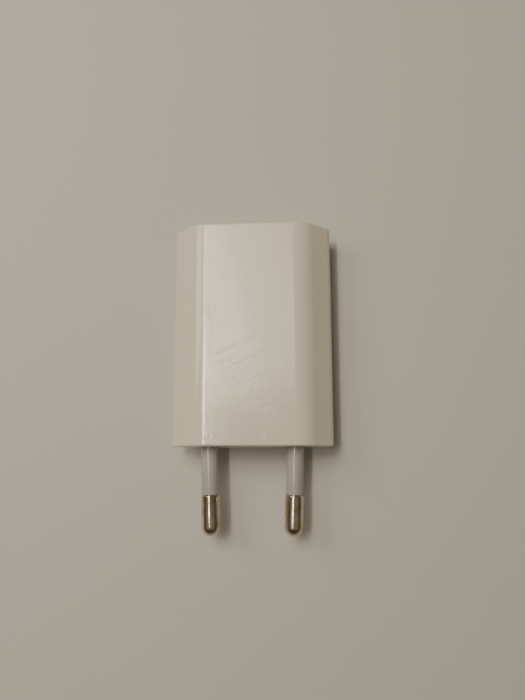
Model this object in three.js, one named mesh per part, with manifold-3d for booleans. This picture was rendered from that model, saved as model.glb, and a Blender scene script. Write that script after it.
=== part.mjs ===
// A slim USB wall charger with a two-pin Europlug, in millimetres, +Z up.
//
// The origin is the centre of the plug face, the flat end that meets the wall socket. +X runs across the
// plug, +Y from the plug face to the USB port, and the pins point along -Y. The charger lies on its back, and
// the two pins lie in the plane Z = 0. The case is a tube with one closed end. A base with the pins closes
// the other end. Inside, one circuit board carries the mains side near the pins, the transformer in the
// middle, and the low-voltage side with the USB socket at the far end.

import * as THREE from "three";
import { mergeVertices } from "three/addons/utils/BufferGeometryUtils.js";
import Module from "manifold-3d";

// ---------- Driving dimensions ----------

const BODY = {
  width: 35.5,
  height: 13.7,
  length: 49.2,
  cornerSum: 18.95, // |x| + |z| anywhere on the four 45 degree chamfers
  faceRadius: 6.0, // between a chamfer and the front or back face
  sideRadius: 2.6, // between a chamfer and a narrow side
  edgeRound: 0.4, // round of the two end edges
};
const WALL = 1.8;
const END_WALL = 2.0;
const RIM = 1.1; // wall left around the base
const PART_LINE = 0.1; // gap between the rim and the base

const PIN = {
  spacingAtFace: 18.9,
  spacingAtTip: 17.7,
  reach: 19.0,
  radius: 2.0,
  neckRadius: 1.35,
  flangeRadius: 2.5,
  tailRadius: 1.1,
};
const SLEEVE = { reach: 10.3, radius: 1.9, wallGap: 0.1, flangeFrom: 0.9, flangeTo: 1.7 };
const BASE = { plate: 2.2, skirtTo: 4.6, skirtThickness: 1.0, bossTo: 4.4, bossRadius: 3.4, webHalfX: 6.5 };
const MOULD_GAP = 0.08; // between a moulded-in piece and the plastic round it

const BOARD = { top: -2.0, thickness: 1.0, halfWidth: 13.2, from: 5.0, to: 46.9 };
const BOARD_BOTTOM = BOARD.top - BOARD.thickness;
const LEAD_TIP = BOARD_BOTTOM - 0.9; // how low soldered leads reach
const STAND = 0.05; // gap under a part that sits on the board

// The case's ribs: rails over the board's edges, ledges under them, and a pad over and under the socket.
const RAIL = { from: 20, to: 46, near: 13.0, far: 15.6, low: BOARD.top + 0.15, high: BOARD.top + 0.85 };
const LEDGE = { from: 8, to: 46, near: 12.0, far: 13.6, low: BOARD_BOTTOM - 1.6, high: BOARD_BOTTOM - 0.1 };
const PAD = { from: 44.4, to: 45.4, halfX: 5.5, gap: 0.15, far: 5.6 };

const USB = {
  width: 13.1,
  height: 5.72,
  sheet: 0.3,
  mouth: BODY.length - 1.0,
  depth: 12.95,
  blockDepth: 3.75,
  tongueWidth: 11.1,
  tongueTop: 1.895,
  tongueThickness: 1.84,
  tongueFront: 1.2, // behind the mouth
  contactX: [-3.5, -1.0, 1.0, 3.5],
  contactWidth: 1.0,
};
const USB_BACK = USB.mouth - USB.depth;
const PORT = { width: 13.9, height: 6.5, round: 1.0 };
const TAIL_Y = 34.0; // where the contact tails go down through the board

const BULK_CAN = { radius: 4.0, x: 4.15, z: 0, from: 7.6, to: 18.4, leadPitch: 3.5, leadY: 6.2 };
const OUTPUT_CAN = { radius: 3.15, x: 10.15, z: 1.25, from: 36.2, to: 46.2, leadPitch: 2.5, leadY: 34.9 };
const CAN_WALL = 0.3;
const LEAD_RADIUS = 0.3;

const CORE = {
  width: 13.0,
  thickness: 4.4,
  from: 21.0,
  to: 31.6,
  back: 2.0,
  outerLeg: 2.0,
  centreLeg: 3.2,
  z: 0.9,
};
const CHOKE = {
  x: -9.5,
  y: 22.5,
  radius: 2.6,
  coreRadius: 1.3,
  windingRadius: 2.3,
  height: 6.0,
  flange: 0.8,
};

const ROUND = 24; // sides of a turned piece

// ---------- Solids ----------

const wasm = await Module();
wasm.setup();

function toSolid(geometry) {
  const bare = geometry.clone();
  bare.deleteAttribute("normal");
  bare.deleteAttribute("uv");
  const merged = geometry.userData.closed ? bare : mergeVertices(bare, 1e-4);
  return new wasm.Manifold(
    new wasm.Mesh({
      numProp: 3,
      vertProperties: new Float32Array(merged.attributes.position.array),
      triVerts: new Uint32Array(merged.index.array),
    }),
  );
}

function toGeometry(solid) {
  const mesh = solid.getMesh();
  const geometry = new THREE.BufferGeometry();
  geometry.setAttribute("position", new THREE.BufferAttribute(mesh.vertProperties, 3));
  geometry.setIndex(new THREE.BufferAttribute(mesh.triVerts, 1));
  geometry.computeVertexNormals();
  geometry.userData.closed = true;
  return geometry;
}

function join(...geometries) {
  return toGeometry(geometries.map(toSolid).reduce((whole, next) => whole.add(next)));
}

function cut(geometry, ...tools) {
  return toGeometry(tools.map(toSolid).reduce((whole, tool) => whole.subtract(tool), toSolid(geometry)));
}

// A box between two corners, given as its range along each axis.
function box([x0, x1], [y0, y1], [z0, z1]) {
  const geometry = new THREE.BoxGeometry(x1 - x0, y1 - y0, z1 - z0);
  return geometry.translate((x0 + x1) / 2, (y0 + y1) / 2, (z0 + z1) / 2);
}

// The range from near to far on the positive side of an axis, or its mirror image on the negative side.
function onSide(side, near, far) {
  return side > 0 ? [near, far] : [-far, -near];
}

// A turned piece about the Y axis. The profile lists [radius, y] from low to high y outside.
function turned(profile, sides = ROUND) {
  return new THREE.LatheGeometry(profile.map(([r, y]) => new THREE.Vector2(r, y)), sides);
}

// A plain cylinder about Y, or about Z for upright parts.
function rod(radius, fromY, toY, sides = ROUND) {
  return new THREE.CylinderGeometry(radius, radius, toY - fromY, sides).translate(0, (fromY + toY) / 2, 0);
}

function upright(radius, fromZ, toZ, sides = ROUND) {
  return rod(radius, fromZ, toZ, sides).rotateX(Math.PI / 2);
}

const X_AXIS = new THREE.Vector3(1, 0, 0);
const Y_AXIS = new THREE.Vector3(0, 1, 0);
const Z_AXIS = new THREE.Vector3(0, 0, 1);

// A shape drawn in X and Z, extruded along Y, with both end edges rounded if round is given.
function alongY(shape, fromY, toY, round = 0, arcSteps = 3) {
  const geometry = new THREE.ExtrudeGeometry(shape, {
    depth: toY - fromY - 2 * round,
    curveSegments: arcSteps,
    bevelEnabled: round > 0,
    bevelThickness: round,
    bevelSize: round,
    bevelOffset: -round,
    bevelSegments: 2,
  });
  const turn = new THREE.Matrix4().makeBasis(X_AXIS, Z_AXIS, Y_AXIS.clone().negate());
  return geometry.applyMatrix4(turn).translate(0, toY - round, 0);
}

// A shape drawn in Y and Z, extruded along X.
function alongX(shape, fromX, toX, arcSteps = 3) {
  const settings = { depth: toX - fromX, curveSegments: arcSteps, bevelEnabled: false };
  const geometry = new THREE.ExtrudeGeometry(shape, settings);
  return geometry.applyMatrix4(new THREE.Matrix4().makeBasis(Y_AXIS, Z_AXIS, X_AXIS)).translate(fromX, 0, 0);
}

// A shape drawn in X and Y, extruded up Z.
function alongZ(shape, fromZ, toZ) {
  const settings = { depth: toZ - fromZ, curveSegments: 3, bevelEnabled: false };
  return new THREE.ExtrudeGeometry(shape, settings).translate(0, 0, fromZ);
}

function outline(points) {
  return new THREE.Shape(points.map(([x, y]) => new THREE.Vector2(x, y)));
}

function rectangle(halfWidth, halfHeight, round, centreX = 0, centreY = 0) {
  const inX = halfWidth - round;
  const inY = halfHeight - round;
  const shape = new THREE.Shape();
  shape.absarc(centreX + inX, centreY + inY, round, 0, Math.PI / 2);
  shape.absarc(centreX - inX, centreY + inY, round, Math.PI / 2, Math.PI);
  shape.absarc(centreX - inX, centreY - inY, round, Math.PI, 1.5 * Math.PI);
  shape.absarc(centreX + inX, centreY - inY, round, 1.5 * Math.PI, 2 * Math.PI);
  return shape;
}

// A round wire along a smooth path through the points.
function wire(points, radius = LEAD_RADIUS, steps = 10) {
  const path = new THREE.CatmullRomCurve3(points.map((p) => new THREE.Vector3(...p)), false, "centripetal");
  const section = new THREE.Shape();
  section.absarc(0, 0, radius, 0, 2 * Math.PI);
  return new THREE.ExtrudeGeometry(section, { steps, extrudePath: path, curveSegments: 4 });
}

// ---------- The body's outline ----------

// The case's cross-section in X and Z, moved inwards by inset: a flat hexagon with eight arcs.
function bodyOutline(inset = 0) {
  const tangent = Math.tan(Math.PI / 8); // length of an arc's tangent at a 45 degree corner, per radius
  const sum = BODY.cornerSum - inset * Math.SQRT2;
  const faceRadius = BODY.faceRadius - inset;
  const sideRadius = Math.max(BODY.sideRadius - inset, 0.3);
  const halfHeight = BODY.height / 2 - inset;
  const halfWidth = Math.min(BODY.width / 2 - inset, sum - tangent * sideRadius - 0.02);
  const sideX = halfWidth - sideRadius;
  const sideZ = sum - halfWidth - tangent * sideRadius;
  const faceX = sum - halfHeight - tangent * faceRadius;
  const faceZ = halfHeight - faceRadius;
  const eighth = Math.PI / 4;
  const shape = new THREE.Shape();
  const arcs = [
    [sideX, sideZ, sideRadius],
    [faceX, faceZ, faceRadius],
    [-faceX, faceZ, faceRadius],
    [-sideX, sideZ, sideRadius],
    [-sideX, -sideZ, sideRadius],
    [-faceX, -faceZ, faceRadius],
    [faceX, -faceZ, faceRadius],
    [sideX, -sideZ, sideRadius],
  ];
  arcs.forEach(([x, z, radius], i) => shape.absarc(x, z, radius, i * eighth, (i + 1) * eighth));
  return shape;
}

// ---------- Case and base ----------

function caseShell() {
  const outer = alongY(bodyOutline(), 0, BODY.length, BODY.edgeRound);
  const cavity = alongY(bodyOutline(WALL), -1, BODY.length - END_WALL);
  const seat = alongY(bodyOutline(RIM), -1, BASE.plate + 0.1);
  const portShape = rectangle(PORT.width / 2, PORT.height / 2, PORT.round);
  const port = alongY(portShape, BODY.length - END_WALL - 1, BODY.length + 1);
  const ribs = [];
  for (const side of [-1, 1]) {
    for (const rib of [RAIL, LEDGE]) {
      ribs.push(box(onSide(side, rib.near, rib.far), [rib.from, rib.to], [rib.low, rib.high]));
    }
    const padRange = onSide(side, USB.height / 2 + PAD.gap, PAD.far);
    ribs.push(box([-PAD.halfX, PAD.halfX], [PAD.from, PAD.to], padRange));
  }
  return join(cut(outer, cavity, seat, port), ...ribs);
}

// Everything that the base is moulded round, grown by grow: the sleeve, the pin's flange and its shank.
function pinEnvelope(grow) {
  return join(
    rod(SLEEVE.radius + grow, -1, 1),
    rod(PIN.flangeRadius + 0.05 + grow, SLEEVE.flangeFrom - grow, 2.9 + grow),
    rod(1.8 + grow, 2, BASE.bossTo + 1),
  );
}

const LEAN = Math.asin((PIN.spacingAtFace - PIN.spacingAtTip) / 2 / PIN.reach);

// Puts a piece drawn on the Y axis on the pin at that side, leaning as the pins do.
function onPin(geometry, side) {
  return geometry.rotateZ(-side * LEAN).translate((side * PIN.spacingAtFace) / 2, 0, 0);
}

function plugBase() {
  const plate = alongY(bodyOutline(RIM + PART_LINE), 0, BASE.plate, 0.15);
  const back = BASE.plate - 0.3;
  const skirtInset = WALL + PART_LINE;
  const skirtOutside = alongY(bodyOutline(skirtInset), back, BASE.skirtTo);
  const skirtInside = alongY(bodyOutline(skirtInset + BASE.skirtThickness), back, BASE.skirtTo + 1);
  const webs = [box([-BASE.webHalfX, BASE.webHalfX], [back, BASE.bossTo - 0.8], [-0.5, 0.5])];
  for (const side of [-1, 1]) webs.push(onPin(rod(BASE.bossRadius, back, BASE.bossTo), side));
  const moulded = join(plate, cut(skirtOutside, skirtInside), ...webs);
  return cut(moulded, onPin(pinEnvelope(MOULD_GAP), -1), onPin(pinEnvelope(MOULD_GAP), 1));
}

// ---------- Pins ----------

function contactPin() {
  const shoulder = SLEEVE.reach + 0.1;
  const profile = [];
  const tipSteps = 6;
  for (let i = 0; i <= tipSteps; i++) {
    const angle = ((Math.PI / 2) * i) / tipSteps;
    profile.push([PIN.radius * Math.sin(angle), -PIN.reach + PIN.radius * (1 - Math.cos(angle))]);
  }
  profile.push([PIN.radius, -shoulder - 0.2], [PIN.radius - 0.2, -shoulder]);
  profile.push([PIN.neckRadius, -shoulder], [PIN.neckRadius, 1.8]);
  profile.push([PIN.flangeRadius, 1.8], [PIN.flangeRadius, 2.9]);
  profile.push([1.8, 2.9], [1.8, 4.6]);
  profile.push([PIN.tailRadius, 4.6], [PIN.tailRadius, 5.25]);
  profile.push([1.5, 5.25], [1.35, 5.6], [0, 5.6]);
  return turned(profile);
}

function pinSleeve() {
  const inside = PIN.neckRadius + SLEEVE.wallGap;
  return turned([
    [inside, -SLEEVE.reach],
    [SLEEVE.radius - 0.1, -SLEEVE.reach],
    [SLEEVE.radius, -SLEEVE.reach + 0.1],
    [SLEEVE.radius, SLEEVE.flangeFrom],
    [PIN.flangeRadius, SLEEVE.flangeFrom],
    [PIN.flangeRadius, SLEEVE.flangeTo],
    [inside, SLEEVE.flangeTo],
    [inside, -SLEEVE.reach],
  ]);
}

// The stamped lug riveted on the pin's tail, whose foot is soldered in the board.
function pinLug() {
  const ring = rod(1.75, 4.75, 5.15);
  const drop = box([-0.9, 0.9], [4.75, 5.15], [-1.95, -0.5]);
  const shelf = box([-0.9, 0.9], [4.75, 6.2], [-1.95, -1.65]);
  const foot = box([-0.6, 0.6], [5.8, 6.2], [LEAD_TIP, -1.65]);
  return cut(join(ring, drop, shelf, foot), rod(PIN.tailRadius + 0.1, 4, 6));
}

// ---------- Circuit board ----------

const BOBBIN_PIN_X = [-4.5, -1.5, 1.5, 4.5];
const BOBBIN_PIN_Y = [20.0, 32.6];
const SHELL_LEG = { x: 8.3, y: [38.5, 45.0] };
const CHOKE_LEAD_X = [CHOKE.x - 1.3, CHOKE.x + 1.3];
const Y_CAP = { x: -9.6, y: 29.3, z: 1.6, radius: 3.2, thickness: 3.0, leadOffset: 2.3 };
const FUSIBLE = { x: -10.8, z: -0.45, radius: 1.4, from: 9.2, to: 16.8, leadY: [8.0, 18.0] };

function circuitBoard() {
  const through = (x, y, radius = 0.5) => {
    const hole = upright(radius, BOARD_BOTTOM - 1, BOARD.top + 1, 10);
    return hole.translate(x, y, 0);
  };
  const slot = ([x0, x1], [y0, y1]) => box([x0, x1], [y0, y1], [BOARD_BOTTOM - 1, BOARD.top + 1]);
  const tools = [
    slot([-7.9, 7.9], [7.4, 18.9]), // the two bulk capacitors sink into this window
    slot([-4.7, 4.7], [22.8, 29.8]), // the transformer's coil
    slot([-7.0, 7.0], [34.95, BOARD.to + 1]), // the USB socket
    slot([-7.6, -5.2], [30.6, 31.4]), // isolation slots between mains and low voltage
    slot([5.2, 7.2], [30.6, 31.4]),
  ];
  for (const side of [-1, 1]) {
    const lugX = (side * PIN.spacingAtFace) / 2 + side * 0.19;
    tools.push(slot([lugX - 0.85, lugX + 0.85], [5.55, 6.45]));
    for (const way of [-1, 1]) {
      tools.push(through(side * BULK_CAN.x + (way * BULK_CAN.leadPitch) / 2, BULK_CAN.leadY));
      tools.push(through(side * OUTPUT_CAN.x + (way * OUTPUT_CAN.leadPitch) / 2, OUTPUT_CAN.leadY));
    }
    for (const y of SHELL_LEG.y) {
      tools.push(slot(onSide(side, SHELL_LEG.x - 0.55, SHELL_LEG.x + 0.25), [y - 0.9, y + 0.9]));
    }
  }
  for (const y of BOBBIN_PIN_Y) for (const x of BOBBIN_PIN_X) tools.push(through(x, y));
  for (const x of CHOKE_LEAD_X) tools.push(through(x, CHOKE.y));
  for (const x of USB.contactX) tools.push(through(x, TAIL_Y - 0.1));
  for (const way of [-1, 1]) tools.push(through(Y_CAP.x, Y_CAP.y + way * Y_CAP.leadOffset));
  for (const y of FUSIBLE.leadY) tools.push(through(FUSIBLE.x, y));
  const blank = box([-BOARD.halfWidth, BOARD.halfWidth], [BOARD.from, BOARD.to], [BOARD_BOTTOM, BOARD.top]);
  return cut(blank, ...tools);
}

// ---------- Electrolytic capacitors ----------

// An aluminium can about Y, open at its lead end, with the crimp groove that grips the bung.
function capacitorCan({ radius, x, z, from, to }) {
  const inside = radius - CAN_WALL;
  const profile = [
    [0, from + 1.8],
    [inside, from + 1.8],
    [inside, from],
    [radius - 0.1, from],
    [radius, from + 0.1],
    [radius, from + 2.0],
    [radius - 0.25, from + 2.3],
    [radius, from + 2.6],
    [radius, to - 0.4],
    [radius - 0.4, to],
    [0, to],
  ];
  return turned(profile).translate(x, 0, z);
}

// The rubber bung with its two leads, which turn down into the board.
function capacitorBung({ radius, x, z, from, leadPitch, leadY }) {
  const bung = rod(radius - CAN_WALL - 0.08, from + 0.15, from + 1.7).translate(x, 0, z);
  const leads = [-1, 1].map((way) => {
    const leadX = x + (way * leadPitch) / 2;
    return wire([
      [leadX, from + 0.5, z],
      [leadX, leadY + 0.75, z],
      [leadX, leadY + 0.2, z - 0.2],
      [leadX, leadY, z - 0.75],
      [leadX, leadY, BOARD.top],
      [leadX, leadY, LEAD_TIP],
    ]);
  });
  return join(bung, ...leads);
}

// ---------- Transformer ----------

// One E-shaped ferrite half: a back wall and three legs. way is 1 if the legs point along +Y.
function coreHalf(way) {
  const half = (CORE.to - CORE.from) / 2 - 0.02;
  const out = CORE.width / 2;
  const leg = out - CORE.outerLeg;
  const mid = CORE.centreLeg / 2;
  const points = [
    [-out, 0],
    [out, 0],
    [out, half],
    [leg, half],
    [leg, CORE.back],
    [mid, CORE.back],
    [mid, half - 0.1],
    [-mid, half - 0.1],
    [-mid, CORE.back],
    [-leg, CORE.back],
    [-leg, half],
    [-out, half],
  ];
  const low = CORE.z - CORE.thickness / 2;
  const geometry = alongZ(outline(points), low, low + CORE.thickness);
  if (way > 0) return geometry.translate(0, CORE.from, 0);
  return geometry.rotateZ(Math.PI).translate(0, CORE.to, 0);
}

const COIL = {
  from: 23.1,
  to: 29.5,
  flange: 0.5,
  halfX: 2.2,
  halfZ: 2.8,
  flangeHalfX: 4.4,
  flangeHalfZ: 3.75,
};

function ring(halfX, halfZ, insideX, insideZ, from, to, z, round = 0.6) {
  const outside = alongY(rectangle(halfX, halfZ, round, 0, z), from, to);
  const inside = alongY(rectangle(insideX, insideZ, 0.3, 0, z), from - 1, to + 1);
  return cut(outside, inside);
}

function transformerBobbin() {
  const inX = CORE.centreLeg / 2 + 0.1;
  const inZ = CORE.thickness / 2 + 0.1;
  const parts = [alongY(rectangle(COIL.halfX, COIL.halfZ, 0.4, 0, CORE.z), COIL.from, COIL.to)];
  for (const from of [COIL.from, COIL.to - COIL.flange]) {
    const flange = rectangle(COIL.flangeHalfX, COIL.flangeHalfZ, 0.5, 0, CORE.z);
    parts.push(alongY(flange, from, from + COIL.flange));
  }
  const under = CORE.z - CORE.thickness / 2 - 0.1;
  const rails = [[19.25, 20.75, COIL.from + 0.2], [31.85, 33.35, COIL.to - 0.2]];
  rails.forEach(([from, to, reach], i) => {
    parts.push(box([-6.4, 6.4], [from, to], [BOARD.top + STAND, 0.3]));
    const bridge = [Math.min(from + 0.5, reach), Math.max(to - 0.5, reach)];
    parts.push(box([-4.2, 4.2], bridge, [BOARD.top + 0.2, under]));
    for (const x of BOBBIN_PIN_X) {
      const y = BOBBIN_PIN_Y[i];
      parts.push(box([x - 0.25, x + 0.25], [y - 0.25, y + 0.25], [LEAD_TIP, BOARD.top + 0.5]));
    }
  });
  const bore = alongY(rectangle(inX, inZ, 0.1, 0, CORE.z), COIL.from - 1, COIL.to + 1);
  return cut(join(...parts), bore);
}

function primaryWinding() {
  return ring(3.2, 3.25, COIL.halfX + 0.05, COIL.halfZ + 0.05, 23.65, 28.95, CORE.z);
}

function secondaryWinding() {
  return ring(4.0, 3.7, 3.25, 3.3, 23.7, 28.9, CORE.z, 0.9);
}

// A tape band round both core halves, in the X-Y plane.
function coreTape() {
  const halfX = CORE.width / 2 + 0.05;
  const halfY = (CORE.to - CORE.from) / 2 + 0.05;
  const middle = (CORE.from + CORE.to) / 2;
  const low = CORE.z - 1.6;
  const high = CORE.z + 1.6;
  const thickness = 0.12;
  const outside = alongZ(rectangle(halfX + thickness, halfY + thickness, 0.2, 0, middle), low, high);
  return cut(outside, box([-halfX, halfX], [middle - halfY, middle + halfY], [low - 1, high + 1]));
}

// ---------- Other components ----------

function chokeCore() {
  const low = BOARD.top + 0.1;
  const profile = [
    [0, low],
    [CHOKE.radius, low],
    [CHOKE.radius, low + CHOKE.flange],
    [CHOKE.coreRadius, low + CHOKE.flange],
    [CHOKE.coreRadius, low + CHOKE.height - CHOKE.flange],
    [CHOKE.radius, low + CHOKE.height - CHOKE.flange],
    [CHOKE.radius, low + CHOKE.height],
    [0, low + CHOKE.height],
  ];
  const drum = turned(profile, 20).rotateX(Math.PI / 2).translate(CHOKE.x, CHOKE.y, 0);
  const lead = upright(LEAD_RADIUS, LEAD_TIP, low + 0.4, 8);
  const leads = CHOKE_LEAD_X.map((x) => lead.clone().translate(x, CHOKE.y, 0));
  return join(drum, ...leads);
}

function chokeWinding() {
  const low = BOARD.top + 0.1 + CHOKE.flange + 0.05;
  const high = BOARD.top + 0.1 + CHOKE.height - CHOKE.flange - 0.05;
  const inside = CHOKE.coreRadius + 0.05;
  const outside = CHOKE.windingRadius;
  const profile = [[inside, low], [outside, low], [outside, high], [inside, high], [inside, low]];
  return turned(profile, 20).rotateX(Math.PI / 2).translate(CHOKE.x, CHOKE.y, 0);
}

function yCapacitor() {
  const half = Y_CAP.thickness / 2;
  const edge = Y_CAP.radius;
  const profile = [[0, -half], [edge - 1.2, -half], [edge - 0.3, -half + 0.5], [edge, 0]];
  profile.push([edge - 0.3, half - 0.5], [edge - 1.2, half], [0, half]);
  const disc = turned(profile, 20).rotateZ(Math.PI / 2).translate(Y_CAP.x, Y_CAP.y, Y_CAP.z);
  const leads = [-1, 1].map((way) => {
    const y = Y_CAP.y + way * Y_CAP.leadOffset;
    return upright(LEAD_RADIUS, LEAD_TIP, Y_CAP.z - 0.8, 8).translate(Y_CAP.x, y, 0);
  });
  return join(disc, ...leads);
}

function fusibleResistor() {
  const { x, z, radius, from, to, leadY } = FUSIBLE;
  const profile = [[0, from], [radius - 0.3, from], [radius, from + 0.4], [radius, from + 1.4]];
  profile.push([radius - 0.2, from + 1.8], [radius - 0.2, to - 1.8], [radius, to - 1.4]);
  profile.push([radius, to - 0.4], [radius - 0.3, to], [0, to]);
  const body = turned(profile, 16).translate(x, 0, z);
  const lead = wire([
    [x, leadY[0], LEAD_TIP],
    [x, leadY[0], BOARD.top],
    [x, leadY[0] + 0.3, z - 0.1],
    [x, from + 0.6, z],
  ]);
  const otherLead = wire([
    [x, to - 0.6, z],
    [x, leadY[1] - 0.3, z - 0.1],
    [x, leadY[1], BOARD.top],
    [x, leadY[1], LEAD_TIP],
  ]);
  return join(body, lead, otherLead);
}

// A moulded package with gull-wing leads on its two X sides. up is 1 on the board's top and -1 underneath.
// leadsAlong puts the leads on the two Y sides instead.
function gullWingPackage({ x, y, width, length, height, span, leadYs, leadWidth, up, leadsAlong = false }) {
  const body = box([-width / 2, width / 2], [-length / 2, length / 2], [0.15, height]);
  const thick = 0.2;
  const middle = height * 0.5;
  const leads = [];
  for (const side of [-1, 1]) {
    const knee = width / 2 + (span - width) / 4;
    const lead = [
      [width / 2 - 0.2, middle],
      [knee + thick / 2, middle],
      [knee + thick / 2, STAND + thick],
      [span / 2, STAND + thick],
      [span / 2, STAND],
      [knee - thick / 2, STAND],
      [knee - thick / 2, middle - thick],
      [width / 2 - 0.2, middle - thick],
    ];
    for (const leadY of leadYs) {
      const strip = new THREE.ExtrudeGeometry(outline(lead), { depth: leadWidth, bevelEnabled: false });
      strip.applyMatrix4(new THREE.Matrix4().makeBasis(X_AXIS, Z_AXIS, Y_AXIS.clone().negate()));
      strip.translate(0, leadWidth / 2, 0);
      if (side < 0) strip.rotateZ(Math.PI);
      leads.push(strip.translate(0, leadY, 0));
    }
  }
  const whole = join(body, ...leads);
  if (leadsAlong) whole.rotateZ(Math.PI / 2);
  if (up < 0) whole.rotateX(Math.PI);
  return whole.translate(x, y, up > 0 ? BOARD.top : BOARD_BOTTOM);
}

// A flat power package on the board: a moulded block with a metal tab at one end and two leads at the other.
// tabWay is 1 if the tab points along +Y.
function powerPackage({ x, y, width, length, height, tabWidth, tab, leadWidth, lead, leadPitch, tabWay }) {
  const low = STAND;
  const parts = [box([-width / 2, width / 2], [-length / 2, length / 2], [low + 0.05, low + height])];
  parts.push(box([-tabWidth / 2, tabWidth / 2], [length / 2 - 0.3, length / 2 + tab], [low, low + 0.4]));
  for (const side of [-1, 1]) {
    const across = onSide(side, leadPitch / 2 - leadWidth / 2, leadPitch / 2 + leadWidth / 2);
    parts.push(box(across, [-length / 2 - lead, -length / 2 + 0.3], [low, low + 0.4]));
  }
  const whole = join(...parts);
  if (tabWay < 0) whole.rotateZ(Math.PI);
  return whole.translate(x, y, BOARD.top);
}

const BRIDGE = {
  x: 10.7,
  y: 13.2,
  width: 4.7,
  length: 3.9,
  height: 2.4,
  span: 6.8,
  leadYs: [-1.27, 1.27],
  leadWidth: 0.6,
  leadsAlong: true,
  up: 1,
};
const CONTROLLER = {
  x: 8.5,
  y: 24.4,
  width: 3.9,
  length: 4.9,
  height: 1.5,
  span: 5.9,
  leadYs: [-1.905, -0.635, 0.635, 1.905],
  leadWidth: 0.42,
  up: -1,
};
const TRANSISTOR = {
  x: 9.9,
  y: 23.0,
  width: 6.0,
  length: 4.8,
  height: 2.25,
  tabWidth: 5.2,
  tab: 1.0,
  leadWidth: 0.7,
  lead: 2.0,
  leadPitch: 4.3,
  tabWay: -1,
};
const RECTIFIER = {
  x: 9.8,
  y: 30.5,
  width: 4.4,
  length: 4.2,
  height: 1.1,
  tabWidth: 3.6,
  tab: 0.7,
  leadWidth: 1.2,
  lead: 0.6,
  leadPitch: 2.2,
  tabWay: 1,
};

const CHIP_SIZES = { 1206: [1.6, 3.2], "0805": [1.25, 2.0], diode: [1.6, 2.7] };

// A chip part under the board, long side along Y: a body between two slightly larger end caps.
function chip({ size, x, y, height, across = false }) {
  const [width, length] = CHIP_SIZES[size];
  const cap = length * 0.17;
  const high = -0.03;
  const halfX = width / 2 - 0.04;
  const halfY = length / 2 - 0.1;
  const parts = [box([-halfX, halfX], [-halfY, halfY], [-height, high])];
  for (const way of [-1, 1]) {
    const range = way > 0 ? [length / 2 - cap, length / 2] : [-length / 2, -length / 2 + cap];
    parts.push(box([-width / 2, width / 2], range, [-height - 0.04, high + 0.02]));
  }
  const whole = join(...parts);
  if (across) whole.rotateZ(Math.PI / 2);
  return whole.translate(x, y, BOARD_BOTTOM);
}

const CHIPS = {
  clamp_diode: { size: "diode", x: 10.6, y: 20.0, height: 1.0 },
  clamp_capacitor: { size: "0805", x: 7.6, y: 20.3, height: 0.9 },
  clamp_resistor: { size: "1206", x: 9.7, y: 16.2, height: 0.55 },
  startup_resistor_1: { size: "1206", x: 9.7, y: 12.4, height: 0.55 },
  startup_resistor_2: { size: "1206", x: 9.7, y: 8.8, height: 0.55 },
  sense_resistor: { size: "1206", x: 10.2, y: 28.8, height: 0.6, across: true },
  supply_capacitor: { size: "1206", x: 6.3, y: 28.9, height: 1.1 },
  supply_diode: { size: "diode", x: -6.4, y: 24.0, height: 1.0 },
  feedback_resistor_1: { size: "0805", x: -6.4, y: 27.0, height: 0.5 },
  feedback_resistor_2: { size: "0805", x: -6.4, y: 29.4, height: 0.5 },
  output_ceramic_capacitor: { size: "1206", x: 10.4, y: 38.0, height: 1.1 },
  data_resistor_1: { size: "0805", x: -10.4, y: 37.4, height: 0.5 },
  data_resistor_2: { size: "0805", x: -10.4, y: 40.2, height: 0.5 },
};

// The clear film on the case's floor, under the solder side.
function insulationFilm() {
  return box([-9.4, 9.4], [7.0, 43.8], [-5.0, -4.85]);
}

// ---------- USB socket ----------

const SHELL_HALF = { x: USB.width / 2, z: USB.height / 2 };

// The folded steel shell: a rounded tube with four windows, a spring finger in each, and four board legs.
function usbShell() {
  const outside = alongY(rectangle(SHELL_HALF.x, SHELL_HALF.z, 0.6), USB_BACK, USB.mouth);
  const holeShape = rectangle(SHELL_HALF.x - USB.sheet, SHELL_HALF.z - USB.sheet, 0.3);
  const hole = alongY(holeShape, USB_BACK - 1, USB.mouth + 1);
  const root = USB.mouth - 7.9;
  const windows = [];
  const additions = [];
  for (const side of [-1, 1]) {
    for (const x of [-3.2, 3.2]) {
      const z = side * (SHELL_HALF.z - USB.sheet / 2);
      windows.push(box([x - 1.2, x + 1.2], [root, root + 5.0], [z - 0.5, z + 0.5]));
      const line = [
        [root - 0.2, z],
        [root + 1.0, z],
        [root + 3.3, z - side * 0.42],
        [root + 4.5, z - side * 0.1],
      ];
      const half = USB.sheet / 2 - 0.01;
      const upper = line.map(([y, at]) => [y, at + half]);
      const lower = line.map(([y, at]) => [y, at - half]);
      additions.push(alongX(outline([...lower, ...upper.reverse()]), x - 0.85, x + 0.85));
    }
    const low = BOARD.top + STAND;
    const arm = onSide(side, SHELL_HALF.x - 0.2, SHELL_LEG.x);
    const leg = onSide(side, SHELL_LEG.x - USB.sheet, SHELL_LEG.x);
    for (const y of SHELL_LEG.y) {
      additions.push(box(arm, [y - 0.75, y + 0.75], [low, low + USB.sheet]));
      additions.push(box(leg, [y - 0.6, y + 0.6], [LEAD_TIP, low + USB.sheet]));
    }
  }
  return join(cut(outside, hole, ...windows), ...additions);
}

const TONGUE_BOTTOM = USB.tongueTop - USB.tongueThickness;
const TONGUE_FRONT = USB.mouth - USB.tongueFront;
const BLOCK_FRONT = USB_BACK + 0.2 + USB.blockDepth;
const SPRING_ROOT = { y: BLOCK_FRONT + 0.3, z: 0.8 };
const STRIP = 0.22; // thickness of a contact

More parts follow.
